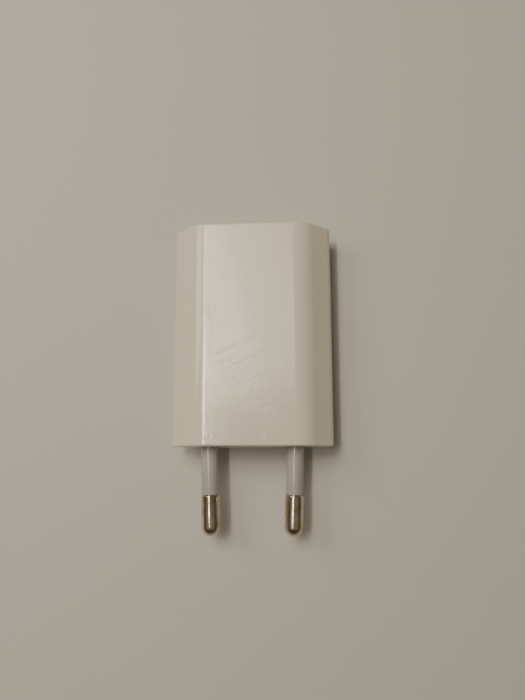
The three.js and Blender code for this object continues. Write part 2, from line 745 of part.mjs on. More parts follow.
// The moulded insulator: a block across the back of the shell, and the tongue with four contact slots.
function usbInsulator() {
  const halfX = SHELL_HALF.x - USB.sheet - 0.1;
  const halfZ = SHELL_HALF.z - USB.sheet - 0.1;
  const block = alongY(rectangle(halfX, halfZ, 0.4), USB_BACK + 0.2, BLOCK_FRONT);
  const half = USB.tongueWidth / 2;
  const tongue = box([-half, half], [BLOCK_FRONT - 0.5, TONGUE_FRONT], [TONGUE_BOTTOM, USB.tongueTop]);
  const tools = [];
  for (const x of USB.contactX) {
    tools.push(box([x - 0.65, x + 0.65], [BLOCK_FRONT + 0.05, TONGUE_FRONT - 0.7], [TONGUE_BOTTOM - 1, 1.3]));
    tools.push(box([x - 0.6, x + 0.6], [USB_BACK - 1, BLOCK_FRONT + 0.1], [0.55, 1.05]));
  }
  return cut(join(block, tongue), ...tools);
}

// The spring part of one contact. It bows below the tongue, and a plug presses it up into its slot.
function contactSpring(x) {
  const line = [
    [SPRING_ROOT.y, SPRING_ROOT.z],
    [SPRING_ROOT.y + 1.0, SPRING_ROOT.z - 0.05],
    [TONGUE_FRONT - 3.0, -0.12],
    [TONGUE_FRONT - 2.2, -0.24],
    [TONGUE_FRONT - 1.6, -0.1],
    [TONGUE_FRONT - 0.95, 0.45],
  ];
  const path = new THREE.SplineCurve(line.map(([y, z]) => new THREE.Vector2(y, z)));
  const middle = path.getPoints(14);
  const normals = middle.map((_, i) => {
    const tangent = path.getTangent(i / 14);
    return new THREE.Vector2(-tangent.y, tangent.x).multiplyScalar(STRIP / 2);
  });
  const upper = middle.map((p, i) => p.clone().add(normals[i]));
  const lower = middle.map((p, i) => p.clone().sub(normals[i]));
  const shape = new THREE.Shape([...lower, ...upper.reverse()]);
  return alongX(shape, x - USB.contactWidth / 2, x + USB.contactWidth / 2);
}

// The fixed part of one contact: through the block, then down into the board.
function contactTail(x) {
  const top = SPRING_ROOT.z + STRIP / 2;
  const low = SPRING_ROOT.z - STRIP / 2;
  const strip = box([x - 0.5, x + 0.5], [TAIL_Y - 0.2, SPRING_ROOT.y - 0.05], [low, top]);
  const leg = box([x - 0.35, x + 0.35], [TAIL_Y - 0.2, TAIL_Y + 0.05], [LEAD_TIP, top - 0.02]);
  return join(strip, leg);
}

// ---------- Materials ----------

function finish(color, roughness, metalness = 0) {
  return new THREE.MeshStandardMaterial({ color, roughness, metalness });
}

const FINISH = {
  whiteCase: finish(0xe4ded1, 0.22),
  whiteBase: finish(0xe4e0d7, 0.35),
  sleeve: finish(0xb2b0ad, 0.4),
  nickel: finish(0xd2c8b8, 0.18, 1),
  brass: finish(0xc2a15a, 0.3, 1),
  board: finish(0x2f6b3f, 0.5),
  aluminium: finish(0xc8cacc, 0.35, 1),
  bung: finish(0x2a2826, 0.7),
  ferrite: finish(0x3a3b3e, 0.75),
  bobbin: finish(0x26262a, 0.5),
  copper: finish(0xb0683a, 0.35, 1),
  yellowTape: finish(0xe8c640, 0.4),
  epoxy: finish(0x222326, 0.55),
  chipCeramic: finish(0xb9a483, 0.5),
  blueCeramic: finish(0x2f6fae, 0.4),
  greenResistor: finish(0x5f8a6a, 0.45),
  steel: finish(0xb9bbbd, 0.3, 1),
  whiteTongue: finish(0xe9e7e0, 0.4),
  gold: finish(0xd8b25a, 0.25, 1),
  film: finish(0xd9dcd6, 0.2),
};

// ---------- The assembly ----------

const charger = new THREE.Group();

function add(name, geometry, material) {
  const mesh = new THREE.Mesh(geometry, material);
  mesh.name = name;
  charger.add(mesh);
}

add("case_shell", caseShell(), FINISH.whiteCase);
add("plug_base", plugBase(), FINISH.whiteBase);

for (const [line, side] of [["live", -1], ["neutral", 1]]) {
  add(`${line}_pin`, onPin(contactPin(), side), FINISH.nickel);
  add(`${line}_pin_sleeve`, onPin(pinSleeve(), side), FINISH.sleeve);
  add(`${line}_pin_lug`, onPin(pinLug(), side), FINISH.brass);
}

add("circuit_board", circuitBoard(), FINISH.board);
add("insulation_film", insulationFilm(), FINISH.film);

for (const [number, side] of [[1, -1], [2, 1]]) {
  const bulk = { ...BULK_CAN, x: side * BULK_CAN.x };
  const output = { ...OUTPUT_CAN, x: side * OUTPUT_CAN.x };
  add(`bulk_capacitor_${number}_can`, capacitorCan(bulk), FINISH.aluminium);
  add(`bulk_capacitor_${number}_bung`, capacitorBung(bulk), FINISH.bung);
  add(`output_capacitor_${number}_can`, capacitorCan(output), FINISH.aluminium);
  add(`output_capacitor_${number}_bung`, capacitorBung(output), FINISH.bung);
}

add("transformer_bobbin", transformerBobbin(), FINISH.bobbin);
add("transformer_core_plug_side", coreHalf(1), FINISH.ferrite);
add("transformer_core_usb_side", coreHalf(-1), FINISH.ferrite);
add("primary_winding", primaryWinding(), FINISH.copper);
add("secondary_winding", secondaryWinding(), FINISH.yellowTape);
add("transformer_tape", coreTape(), FINISH.yellowTape);

add("choke_core", chokeCore(), FINISH.ferrite);
add("choke_winding", chokeWinding(), FINISH.copper);
add("y_capacitor", yCapacitor(), FINISH.blueCeramic);
add("fusible_resistor", fusibleResistor(), FINISH.greenResistor);

add("bridge_rectifier", gullWingPackage(BRIDGE), FINISH.epoxy);
add("controller_ic", gullWingPackage(CONTROLLER), FINISH.epoxy);
add("switching_transistor", powerPackage(TRANSISTOR), FINISH.epoxy);
add("output_rectifier", powerPackage(RECTIFIER), FINISH.epoxy);

for (const [name, place] of Object.entries(CHIPS)) {
  add(name, chip(place), name.includes("diode") ? FINISH.epoxy : FINISH.chipCeramic);
}

add("usb_shell", usbShell(), FINISH.steel);
add("usb_insulator", usbInsulator(), FINISH.whiteTongue);
USB.contactX.forEach((x, i) => {
  add(`usb_contact_spring_${i + 1}`, contactSpring(x), FINISH.gold);
  add(`usb_contact_tail_${i + 1}`, contactTail(x), FINISH.gold);
});

export default charger;
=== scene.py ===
"""A slim USB wall charger with a two-pin Europlug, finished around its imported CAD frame.

The frame's origin is the centre of the plug face. +X runs across the charger, +Y from the plug face to the
USB port, and +Z out of the front. The charger lies on its back.
"""

import math

import bmesh
import bpy
import numpy as np
from bpy.props import FloatProperty, FloatVectorProperty, PointerProperty
from mathutils import Matrix, Vector


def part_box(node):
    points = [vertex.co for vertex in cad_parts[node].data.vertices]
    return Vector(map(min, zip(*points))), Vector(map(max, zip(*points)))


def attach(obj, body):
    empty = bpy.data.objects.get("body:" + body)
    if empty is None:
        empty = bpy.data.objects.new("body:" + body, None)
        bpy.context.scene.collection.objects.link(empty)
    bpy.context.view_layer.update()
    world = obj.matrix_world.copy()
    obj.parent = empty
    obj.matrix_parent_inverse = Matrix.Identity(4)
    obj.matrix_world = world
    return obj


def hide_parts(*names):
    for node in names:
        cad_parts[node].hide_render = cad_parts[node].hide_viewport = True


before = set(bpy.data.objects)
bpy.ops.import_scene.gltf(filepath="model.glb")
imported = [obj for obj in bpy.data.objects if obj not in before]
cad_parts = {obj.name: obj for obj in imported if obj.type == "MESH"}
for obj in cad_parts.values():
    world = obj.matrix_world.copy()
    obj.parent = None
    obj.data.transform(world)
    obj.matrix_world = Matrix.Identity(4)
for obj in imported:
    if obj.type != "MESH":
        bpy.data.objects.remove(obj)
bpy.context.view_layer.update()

bl_info = {
    "name": "USB Wall Charger",
    "version": (1, 0, 0),
    "blender": (4, 5, 0),
    "location": "View3D > Sidebar > Charger",
    "description": "Builds the finish of a slim USB wall charger around its CAD frame",
    "category": "Add Mesh",
}

MM = 0.001
BODY = "charger"

# ---------- Sizes that come from the frame ----------

CASE_LOW, CASE_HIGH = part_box("case_shell")
HALF_WIDTH = CASE_HIGH.x / MM
HALF_HEIGHT = CASE_HIGH.z / MM
LENGTH = CASE_HIGH.y / MM

# ---------- Sizes of the case, in millimetres ----------

CORNER_SUM = 18.95  # |x| + |z| on the 45 degree chamfers
FACE_ROUND = 6.0
SIDE_ROUND = 2.6
WALL = 1.8
END_WALL = 2.0
RIM = 1.1
PART_LINE = 0.1
PLATE = 2.2
PORT = (6.95, 3.25, 1.0)  # half width, half height and corner radius

PIN_SPACING = 18.9
PIN_REACH = 19.0
PIN_LEAN = math.asin(0.6 / PIN_REACH)
PIN_RADIUS = 2.0
SLEEVE_RADIUS = 1.9
SLEEVE_REACH = 10.3
BOARD_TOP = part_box("circuit_board")[1].z / MM

# Inside the case: rails as near X, far X, low Z, high Z and first Y, and the stops that hold the socket
BOARD_RAIL = (13.0, 15.6, -1.85, -1.15, 20)
LOWER_RIB = (12.0, 13.6, -4.6, -3.1, 8)
RAIL_END = 46
SOCKET_STOP_X = 5.5
SOCKET_STOP_Y = (44.4, 45.4)
SOCKET_STOP_Z = (3.01, 5.6)
RIB_ROUND = 0.1

# ---------- Sizes of the stage, in metres ----------

FLOOR_FLAT = 0.45
FLOOR_SWEEP = 0.4
FLOOR_RIM = 0.3
FLOOR_SIDES = 72
LIGHT_HEIGHT = 0.5
PANEL_EDGE_SHARE = 0.17  # of the panel's power, for the dimmer strip along its right side

# ---------- Colour and nodes ----------


def linear(text):
    """The linear colour of an sRGB hex value."""
    parts = np.array([int(text[i : i + 2], 16) for i in (1, 3, 5)]) / 255
    parts = np.where(parts <= 0.04045, parts / 12.92, ((parts + 0.055) / 1.055) ** 2.4)
    return tuple(float(c) for c in parts)


def shade(colour, *amount):
    """A colour times an amount, or times one amount for each of red, green and blue."""
    return (*(float(c) for c in np.array(colour[:3]) * amount), 1.0)


def add(tree, kind, inputs, take=0, stops=(), **settings):
    """Adds one shader node. An input is a plain value or the socket that it is linked to, stops are a
    ramp's (position, grey) pairs, and the rest are the node's own settings. Returns the output named by
    take."""
    node = tree.nodes.new("ShaderNode" + kind)
    for name, value in settings.items():
        setattr(node, name, value)
    for key, value in inputs.items():
        if isinstance(value, bpy.types.NodeSocket):
            tree.links.new(value, node.inputs[key])
        else:
            node.inputs[key].default_value = value
    for element, (position, grey) in zip(node.color_ramp.elements if stops else (), stops):
        element.position = position
        element.color = (grey, grey, grey, 1)
    return node.outputs[take] if node.outputs else node


def per_mm(size):
    """A pattern's scale, so that it repeats about every size millimetres."""
    return 1 / (size * MM)


def start(name):
    """A new material with an empty node tree, and the place on the piece that its patterns follow."""
    made = bpy.data.materials.new(name)
    made.use_nodes = True
    made.node_tree.nodes.clear()
    return made, made.node_tree, add(made.node_tree, "TexCoord", {}, "Object")


def scratches(tree, spot, width, length, degrees, patch):
    """Hairline scratches: noise drawn out along one direction, cut to its thin peaks, in patches of patch
    millimetres. Real ones are a few hundredths of a millimetre wide. These are wider, so that they show."""
    size = (width * MM, length * MM, 4 * MM)
    turned = {"Vector": spot, "Rotation": (0, 0, math.radians(degrees)), "Scale": size}
    along = add(tree, "Mapping", turned, vector_type="TEXTURE")
    lines = add(tree, "TexNoise", {"Vector": along, "Scale": 1.0, "Detail": 0.0, "Distortion": 0.25})
    peaks = add(tree, "ValToRGB", {"Fac": lines}, stops=((0.67, 0.0), (0.74, 1.0)))
    spread = add(tree, "TexNoise", {"Vector": spot, "Scale": per_mm(patch), "Detail": 1.0})
    where = add(tree, "ValToRGB", {"Fac": spread}, stops=((0.50, 0.0), (0.64, 1.0)))
    return add(tree, "Math", {0: peaks, 1: where}, operation="MULTIPLY")


# ---------- Materials ----------


def case_plastic(colour):
    """Injection-moulded polycarbonate from a polished mould: a clear highlight over a milky warm white, a
    faint ripple in what it mirrors, and hairline scratches and scuffs from pockets and tables."""
    made, tree, spot = start("glossy_moulded_polycarbonate")
    cloud = add(tree, "TexNoise", {"Vector": spot, "Scale": per_mm(9.0), "Detail": 3.0})
    tint = {0: cloud, 6: shade(colour, 1.0), 7: shade(colour, 0.975, 0.96, 0.93)}
    tint = add(tree, "Mix", tint, 2, data_type="RGBA")
    long_lines = scratches(tree, spot, 0.16, 14.0, -66, 16.0)
    short_lines = scratches(tree, spot, 0.14, 4.0, 9, 10.0)
    lines = add(tree, "Math", {0: long_lines, 1: short_lines}, operation="MAXIMUM")
    smear = add(tree, "TexNoise", {"Vector": spot, "Scale": per_mm(5.0), "Detail": 4.0})
    smear = add(tree, "MapRange", {"Value": smear, "To Min": 0.09, "To Max": 0.17})
    rough = add(tree, "Math", {0: lines, 1: 0.2, 2: smear}, operation="MULTIPLY_ADD")
    scuffs = add(tree, "TexNoise", {"Vector": spot, "Scale": per_mm(0.55), "Detail": 2.0})
    near_plug = add(tree, "SeparateXYZ", {"Vector": spot}, "Y")
    near_plug = {"Value": near_plug, "From Min": 14 * MM, "From Max": 2 * MM, "To Min": 0.15, "To Max": 1.6}
    near_plug = add(tree, "MapRange", near_plug)
    scuffs = add(tree, "Math", {0: scuffs, 1: near_plug}, operation="MULTIPLY")
    ripple = add(tree, "TexNoise", {"Vector": spot, "Scale": per_mm(3.5), "Detail": 1.0})
    height = add(tree, "Math", {0: ripple, 1: 0.9, 2: scuffs}, operation="MULTIPLY_ADD")
    height = add(tree, "Math", {0: lines, 1: -0.6, 2: height}, operation="MULTIPLY_ADD")
    normal = add(tree, "Bump", {"Height": height, "Distance": 0.012 * MM})
    look = {"Base Color": tint, "Roughness": rough, "Normal": normal, "IOR": 1.585}
    look |= {"Subsurface Weight": 0.06, "Subsurface Radius": (1.0, 0.8, 0.6), "Subsurface Scale": 0.6 * MM}
    add(tree, "OutputMaterial", {"Surface": add(tree, "BsdfPrincipled", look)})
    return made


def base_plastic(colour):
    """Moulded PBT from a spark-eroded mould: the case's white with a satin, finely grained surface."""
    made, tree, spot = start("satin_moulded_pbt")
    grain = add(tree, "TexNoise", {"Vector": spot, "Scale": per_mm(0.14), "Detail": 1.0})
    cloud = add(tree, "TexNoise", {"Vector": spot, "Scale": per_mm(6.0)})
    tint = {0: cloud, 6: shade(colour, 1.0), 7: shade(colour, 0.95)}
    look = {
        "Base Color": add(tree, "Mix", tint, 2, data_type="RGBA"),
        "Roughness": add(tree, "MapRange", {"Value": grain, "To Min": 0.32, "To Max": 0.46}),
        "Normal": add(tree, "Bump", {"Height": grain, "Distance": 0.006 * MM}),
        "IOR": 1.55,
    }
    add(tree, "OutputMaterial", {"Surface": add(tree, "BsdfPrincipled", look)})
    return made


def sleeve_plastic(colour):
    """Moulded nylon: greyer than the case and half glossy, rubbed lengthways by sockets, and greyest at the
    free end."""
    made, tree, spot = start("moulded_nylon_sleeve")
    drawn = {"Vector": spot, "Scale": (0.18 * MM, 5 * MM, 0.18 * MM)}
    drawn = add(tree, "Mapping", drawn, vector_type="TEXTURE")
    rub = add(tree, "TexNoise", {"Vector": drawn, "Scale": 1.0, "Detail": 2.0})
    along = add(tree, "SeparateXYZ", {"Vector": spot}, "Y")
    grime = add(tree, "MapRange", {"Value": along, "From Min": -1 * MM, "From Max": -SLEEVE_REACH * MM})
    grime = add(tree, "Math", {0: rub, 1: grime}, operation="MULTIPLY")
    tint = {0: grime, 6: shade(colour, 1.0), 7: shade(colour, 0.80, 0.78, 0.76)}
    look = {
        "Base Color": add(tree, "Mix", tint, 2, data_type="RGBA"),
        "Roughness": add(tree, "MapRange", {"Value": rub, "To Min": 0.12, "To Max": 0.3}),
        "Normal": add(tree, "Bump", {"Height": rub, "Distance": 0.006 * MM}),
        "IOR": 1.53,
    }
    add(tree, "OutputMaterial", {"Surface": add(tree, "BsdfPrincipled", look)})
    return made


def nickel_plate(colour):
    """Bright nickel plate on turned brass: warm grey, with faint turning rings, lengthways rubs from socket
    springs, and a yellower tone where the plate is worn."""
    made, tree, spot = start("nickel_plated_brass")
    drawn = {"Vector": spot, "Scale": (0.2 * MM, 6 * MM, 0.2 * MM)}
    drawn = add(tree, "Mapping", drawn, vector_type="TEXTURE")
    rubs = add(tree, "TexNoise", {"Vector": drawn, "Scale": 1.0})
    turned = {"Vector": spot, "Scale": (8 * MM, 0.16 * MM, 8 * MM)}
    turned = add(tree, "Mapping", turned, vector_type="TEXTURE")
    rings = add(tree, "TexNoise", {"Vector": turned, "Scale": 1.0})
    wear = add(tree, "Math", {0: rings, 1: rubs}, operation="MULTIPLY")
    stain = add(tree, "TexNoise", {"Vector": spot, "Scale": per_mm(2.0), "Detail": 4.0})
    stain = add(tree, "ValToRGB", {"Fac": stain}, stops=((0.42, 0.0), (0.68, 1.0)))
    tint = {0: stain, 6: shade(colour, 1.0), 7: shade(colour, 0.80, 0.72, 0.58)}
    look = {
        "Base Color": add(tree, "Mix", tint, 2, data_type="RGBA"),
        "Roughness": add(tree, "MapRange", {"Value": wear, "To Min": 0.1, "To Max": 0.36}),
        "Normal": add(tree, "Bump", {"Height": wear, "Distance": 0.008 * MM}),
        "Metallic": 1.0,
    }
    add(tree, "OutputMaterial", {"Surface": add(tree, "BsdfPrincipled", look)})
    return made


def stamped_metal(name, colour, smooth=0.2, rough=0.38):
    """Sheet metal, stamped and plated: fine rolling lines along it, and a plate of slightly uneven tone."""
    made, tree, spot = start(name)
    drawn = {"Vector": spot, "Scale": (0.09 * MM, 4 * MM, 0.09 * MM)}
    drawn = add(tree, "Mapping", drawn, vector_type="TEXTURE")
    lines = add(tree, "TexNoise", {"Vector": drawn, "Scale": 1.0})
    stain = add(tree, "TexNoise", {"Vector": spot, "Scale": per_mm(1.6), "Detail": 3.0})
    tint = {0: stain, 6: shade(colour, 1.0), 7: shade(colour, 0.82)}
    look = {
        "Base Color": add(tree, "Mix", tint, 2, data_type="RGBA"),
        "Roughness": add(tree, "MapRange", {"Value": lines, "To Min": smooth, "To Max": rough}),
        "Normal": add(tree, "Bump", {"Height": lines, "Distance": 0.003 * MM}),
        "Metallic": 1.0,
    }
    add(tree, "OutputMaterial", {"Surface": add(tree, "BsdfPrincipled", look)})
    return made


def tinned_lead():
    """Hot-dipped tin on copper leads and end caps: white metal, soft-edged and slightly dull."""
    name = "hot_tinned_copper"
    return bpy.data.materials.get(name) or stamped_metal(name, linear("#C9CBCC"), 0.25, 0.42)


def moulded_plastic(name, colour, smooth=0.4, rough=0.55, grain=0.12, depth=0.006):
    """Moulded, dipped or potted plastic: a fine even grain of the mould or filler, and a little flow in its
    tone."""
    made, tree, spot = start(name)
    fine = add(tree, "TexNoise", {"Vector": spot, "Scale": per_mm(grain), "Detail": 2.0})
    flow = add(tree, "TexNoise", {"Vector": spot, "Scale": per_mm(2.5), "Detail": 2.0})
    tint = {0: flow, 6: shade(colour, 1.0), 7: shade(colour, 0.82)}
    look = {
        "Base Color": add(tree, "Mix", tint, 2, data_type="RGBA"),
        "Roughness": add(tree, "MapRange", {"Value": fine, "To Min": smooth, "To Max": rough}),
        "Normal": add(tree, "Bump", {"Height": fine, "Distance": depth * MM}),
        "IOR": 1.53,
    }
    add(tree, "OutputMaterial", {"Surface": add(tree, "BsdfPrincipled", look)})
    return made


def solder_mask(colour):
    """Green varnish over a glass-epoxy board: glossy, lighter where it covers copper, darker in the narrow
    gaps between copper areas, with the glass weave just showing."""
    made, tree, spot = start("green_solder_mask")
    cells = {"Vector": spot, "Scale": per_mm(4.5), "Randomness": 0.7}
    gap = add(tree, "TexVoronoi", cells, feature="DISTANCE_TO_EDGE")
    copper = add(tree, "ValToRGB", {"Fac": gap}, stops=((0.05, 0.0), (0.075, 1.0)))
    weave = add(tree, "TexChecker", {"Vector": spot, "Scale": per_mm(0.45)}, "Fac")
    tint = {0: copper, 6: shade(colour, 0.5), 7: shade(colour, 1.0)}
    height = add(tree, "Math", {0: weave, 1: 0.12, 2: copper}, operation="MULTIPLY_ADD")
    look = {
        "Base Color": add(tree, "Mix", tint, 2, data_type="RGBA"),
        "Roughness": add(tree, "MapRange", {"Value": weave, "To Min": 0.22, "To Max": 0.3}),
        "Normal": add(tree, "Bump", {"Height": height, "Distance": 0.035 * MM}),
        "IOR": 1.5,
    }
    add(tree, "OutputMaterial", {"Surface": add(tree, "BsdfPrincipled", look)})
    return made


def sintered_ferrite(colour):
    """Pressed and sintered manganese-zinc ferrite: near black, dull, with open grains."""
    made, tree, spot = start("sintered_ferrite")
    grain = add(tree, "TexNoise", {"Vector": spot, "Scale": per_mm(0.15), "Detail": 4.0})
    tint = {0: grain, 6: shade(colour, 0.55), 7: shade(colour, 1.1)}
    look = {
        "Base Color": add(tree, "Mix", tint, 2, data_type="RGBA"),
        "Roughness": add(tree, "MapRange", {"Value": grain, "To Min": 0.5, "To Max": 0.8}),
        "Normal": add(tree, "Bump", {"Height": grain, "Distance": 0.02 * MM}),
        "IOR": 2.2,
    }
    add(tree, "OutputMaterial", {"Surface": add(tree, "BsdfPrincipled", look)})
    return made


def enamelled_wire(name, colour, wire, axis):
    """Enamelled copper wire wound side by side: a round shiny ridge for each turn, and painted shade that
    darkens the colour into dark lines in the grooves between the windings.
    The bands of a wave at scale 1 repeat every 2 pi / 20."""
    made, tree, spot = start(name)
    bands = {"Vector": spot, "Scale": 2 * math.pi / 20 * per_mm(wire)}
    turn_ridges_and_gap_shade = add(tree, "TexWave", bands, "Fac", bands_direction=axis)
    uneven = add(tree, "TexNoise", {"Vector": spot, "Scale": per_mm(0.5)})
    # Painted shade: the colour darkens to a third in the grooves between the windings.
    tint = {0: turn_ridges_and_gap_shade, 6: shade(colour, 0.35), 7: shade(colour, 1.0)}
    look = {
        "Base Color": add(tree, "Mix", tint, 2, data_type="RGBA"),
        "Roughness": add(tree, "MapRange", {"Value": uneven, "To Min": 0.18, "To Max": 0.34}),
        "Normal": add(tree, "Bump", {"Height": turn_ridges_and_gap_shade, "Distance": wire * 0.4 * MM}),
        "Metallic": 1.0,
    }
    add(tree, "OutputMaterial", {"Surface": add(tree, "BsdfPrincipled", look)})
    return made


def polyester_tape(colour):
    """Polyester tape with its adhesive: a glossy yellow film, creased along its run, with painted shade
    that darkens it where its folds dip."""
    made, tree, spot = start("yellow_polyester_tape")
    drawn = {"Vector": spot, "Scale": (3.5 * MM, 3.5 * MM, 0.5 * MM)}
    crease_and_dip_shade = add(tree, "Mapping", drawn, vector_type="TEXTURE")
    crease_and_dip_shade = add(tree, "TexNoise", {"Vector": crease_and_dip_shade, "Scale": 1.0, "Detail": 3.0})
    # Painted shade: the film's colour darkens where the fold bump dips.
    tint = {0: crease_and_dip_shade, 6: shade(colour, 0.68), 7: shade(colour, 1.0)}
    look = {
        "Base Color": add(tree, "Mix", tint, 2, data_type="RGBA"),
        "Roughness": add(tree, "MapRange", {"Value": crease_and_dip_shade, "To Min": 0.18, "To Max": 0.36}),
        "Normal": add(tree, "Bump", {"Height": crease_and_dip_shade, "Distance": 0.03 * MM}),
        "IOR": 1.64,
        "Coat Weight": 0.4,
        "Coat Roughness": 0.08,
    }
    add(tree, "OutputMaterial", {"Surface": add(tree, "BsdfPrincipled", look)})
    return made


def clear_film(colour):
    """Extruded clear polyester film: faintly cloudy, with flow lines."""
    made, tree, spot = start("clear_polyester_film")
    cloud = add(tree, "TexNoise", {"Vector": spot, "Scale": per_mm(4.0), "Detail": 2.0})
    tint = {0: cloud, 6: shade(colour, 1.0), 7: shade(colour, 0.93)}
    look = {
        "Base Color": add(tree, "Mix", tint, 2, data_type="RGBA"),
        "Roughness": add(tree, "MapRange", {"Value": cloud, "To Min": 0.12, "To Max": 0.28}),
        "IOR": 1.64,
        "Transmission Weight": 0.6,
    }
    add(tree, "OutputMaterial", {"Surface": add(tree, "BsdfPrincipled", look)})
    return made


def floor_paper(colour):
    """Uncoated studio paper: pale and dull, with a very faint fibre."""
    made, tree, spot = start("matt_studio_paper")
    fibre = add(tree, "TexNoise", {"Vector": spot, "Scale": per_mm(1.2), "Detail": 3.0})
    tint = {0: fibre, 6: shade(colour, 1.0), 7: shade(colour, 0.985)}
    look = {
        "Base Color": add(tree, "Mix", tint, 2, data_type="RGBA"),
        "Roughness": add(tree, "MapRange", {"Value": fibre, "To Min": 0.75, "To Max": 0.85}),
        "IOR": 1.45,
    }
    add(tree, "OutputMaterial", {"Surface": add(tree, "BsdfPrincipled", look)})
    return made


# ---------- Surfaces ----------


def arc(centre, radius, start, end, steps=8):
    """Points of a circle's arc: centre + radius (cos a, sin a), for a from start to end in degrees."""
    a = np.radians(np.linspace(start, end, steps + 1))
    return np.stack([centre[0] + radius * np.cos(a), centre[1] + radius * np.sin(a)], axis=-1)


EIGHTHS = np.arange(8)
ARC_TYPE = np.array([0, 1, 1, 0, 0, 1, 1, 0])  # 0 for a side round, 1 for a face round
SIGN_X = np.array([1, 1, -1, -1, -1, -1, 1, 1])
SIGN_Z = np.array([1, 1, 1, 1, -1, -1, -1, -1])


def link_rounds(rounds, straight):
    """Joins eight rounds (8, steps, 2) by straights, whose points crowd towards their ends so that shading
    stays flat between the rounds."""
    weights = 0.5 - 0.5 * np.cos(np.pi * (np.arange(straight) + 0.35) / (straight - 0.3))
    ends = rounds[:, -1:, :]
    starts = np.roll(rounds[:, :1, :], -1, axis=0)
    between = ends + (starts - ends) * weights[None, :, None]
    return np.concatenate([rounds, between], axis=1)


def body_loop(inset, steps=12, straight=7):
    """The case's outline moved in by inset: eight 45 degree rounds, each centre + r (cos a, sin a), whose
    radii shrink with the inset, joined by straights. Returns (8, points, 2) in X and Z, in millimetres."""
    tangent = math.tan(math.pi / 8)
    total = CORNER_SUM - inset * math.sqrt(2)
    side = max(SIDE_ROUND - inset, 0.3)
    face = FACE_ROUND - inset
    half_width = min(HALF_WIDTH - inset, total - tangent * side - 0.02)
    centre_x = np.where(ARC_TYPE, total - (HALF_HEIGHT - inset) - tangent * face, half_width - side)
    centre_z = np.where(ARC_TYPE, HALF_HEIGHT - inset - face, total - half_width - tangent * side)
    radius = np.where(ARC_TYPE, face, side)
    angle = np.radians(45) * (EIGHTHS[:, None] + np.linspace(0, 1, steps)[None, :])
    x = (SIGN_X * centre_x)[:, None] + radius[:, None] * np.cos(angle)
    z = (SIGN_Z * centre_z)[:, None] + radius[:, None] * np.sin(angle)
    return link_rounds(np.stack([x, z], axis=-1), straight)


def port_loop(grow, steps=12, straight=7):
    """The port's outline grown outwards, with the same number of points in the same order as body_loop:
    each corner's quarter circle takes the points of two rounds and the straight between them."""
    half_x, half_z, round_ = (size + grow for size in PORT)
    corner_points = 2 * steps + straight
    quarter = np.radians(90) * np.linspace(0, 1, corner_points)
    start = np.radians(90) * np.arange(4)[:, None]
    sign_x = np.array([1, -1, -1, 1])[:, None]
    sign_z = np.array([1, 1, -1, -1])[:, None]
    x = sign_x * (half_x - round_) + round_ * np.cos(start + quarter)
    z = sign_z * (half_z - round_) + round_ * np.sin(start + quarter)
    corners = np.stack([x, z], axis=-1)
    weights = (np.arange(straight) + 1) / (straight + 1)
    gap = np.roll(corners[:, :1], -1, axis=0) - corners[:, -1:]
    sides = corners[:, -1:] + gap * weights[None, :, None]
    return np.concatenate([corners, sides], axis=1).reshape(8, -1, 2)


def ring(loop, y):
    """A loop in X and Z lifted to a ring of points at y."""
    flat = loop.reshape(-1, 2)
    return np.stack([flat[:, 0], np.full(len(flat), y), flat[:, 1]], axis=-1)


def turn(profile, sides=48):
    """A surface of revolution about Y: (r cos a, y, r sin a) for each (r, y) of the profile."""
    profile = np.asarray(profile, float)
    a = 2 * np.pi * np.arange(sides) / sides
    r, y = profile[:, 0, None], profile[:, 1, None]
    return np.stack([r * np.cos(a), np.broadcast_to(y, (len(profile), sides)), r * np.sin(a)], axis=-1)


def rounded_block(low, high, round_, steps=4):
    """A box with rounded edges: each corner is an eighth of a sphere, and the flats are what lies between.
    The point at latitude b and longitude a is the corner's centre + r (cos b cos a, cos b sin a, sin b)."""
    low, high = np.asarray(low, float), np.asarray(high, float)
    middle, half = (low + high) / 2, (high - low) / 2 - round_
    quarter = np.linspace(0, np.pi / 2, steps + 1)
    latitude = np.concatenate([quarter - np.pi / 2, quarter])
    longitude = np.concatenate([quarter + k * np.pi / 2 for k in range(4)])
    sign_x = np.repeat([1, -1, -1, 1], steps + 1)
    sign_y = np.repeat([1, 1, -1, -1], steps + 1)
    sign_z = np.repeat([-1, 1], steps + 1)
    b, a = latitude[:, None], longitude[None, :]
    x = sign_x * half[0] + round_ * np.cos(b) * np.cos(a)
    y = sign_y * half[1] + round_ * np.cos(b) * np.sin(a)
    z = np.broadcast_to((sign_z * half[2])[:, None] + round_ * np.sin(b), x.shape)
    return np.stack([x, y, z], axis=-1) + middle


def skin(rings, around=True, closed=False, caps=False):
    """The faces of a surface through rings (rings, points, 3). around joins each ring's ends, closed joins
    the last ring to the first, and caps closes both ends with one flat face each."""
    rings = np.asarray(rings, float)
    rows, columns = rings.shape[:2]
    index = np.arange(rows * columns).reshape(rows, columns)
    down = np.roll(index, -1, axis=0) if closed else index[1:]
    index = index if closed else index[:-1]
    if around:
        quads = [index, np.roll(index, -1, axis=1), np.roll(down, -1, axis=1), down]
    else:
        quads = [index[:, :-1], index[:, 1:], down[:, 1:], down[:, :-1]]
    faces = np.stack(quads, axis=-1).reshape(-1, 4).tolist()
    if caps:
        faces.append(list(range(columns))[::-1])
        faces.append(list(range((rows - 1) * columns, rows * columns)))
    return rings.reshape(-1, 3), faces


def build(name, skins, finish, body=BODY, stands_for=(), sharp=35):
    """Makes one object of several skins in millimetres, with merged seams and outward faces."""
    points, faces, start = [], [], 0
    for verts, polys in skins:
        points.append(verts)
        faces.extend([[i + start for i in poly] for poly in polys])
        start += len(verts)
    mesh = bpy.data.meshes.new(name)
    mesh.from_pydata((np.concatenate(points) * MM).tolist(), [], faces)
    shape = bmesh.new()
    shape.from_mesh(mesh)
    bmesh.ops.remove_doubles(shape, verts=shape.verts, dist=2e-7)
    bmesh.ops.recalc_face_normals(shape, faces=shape.faces)
    shape.to_mesh(mesh)
    shape.free()
    return finish_object(name, mesh, finish, body, stands_for, sharp)


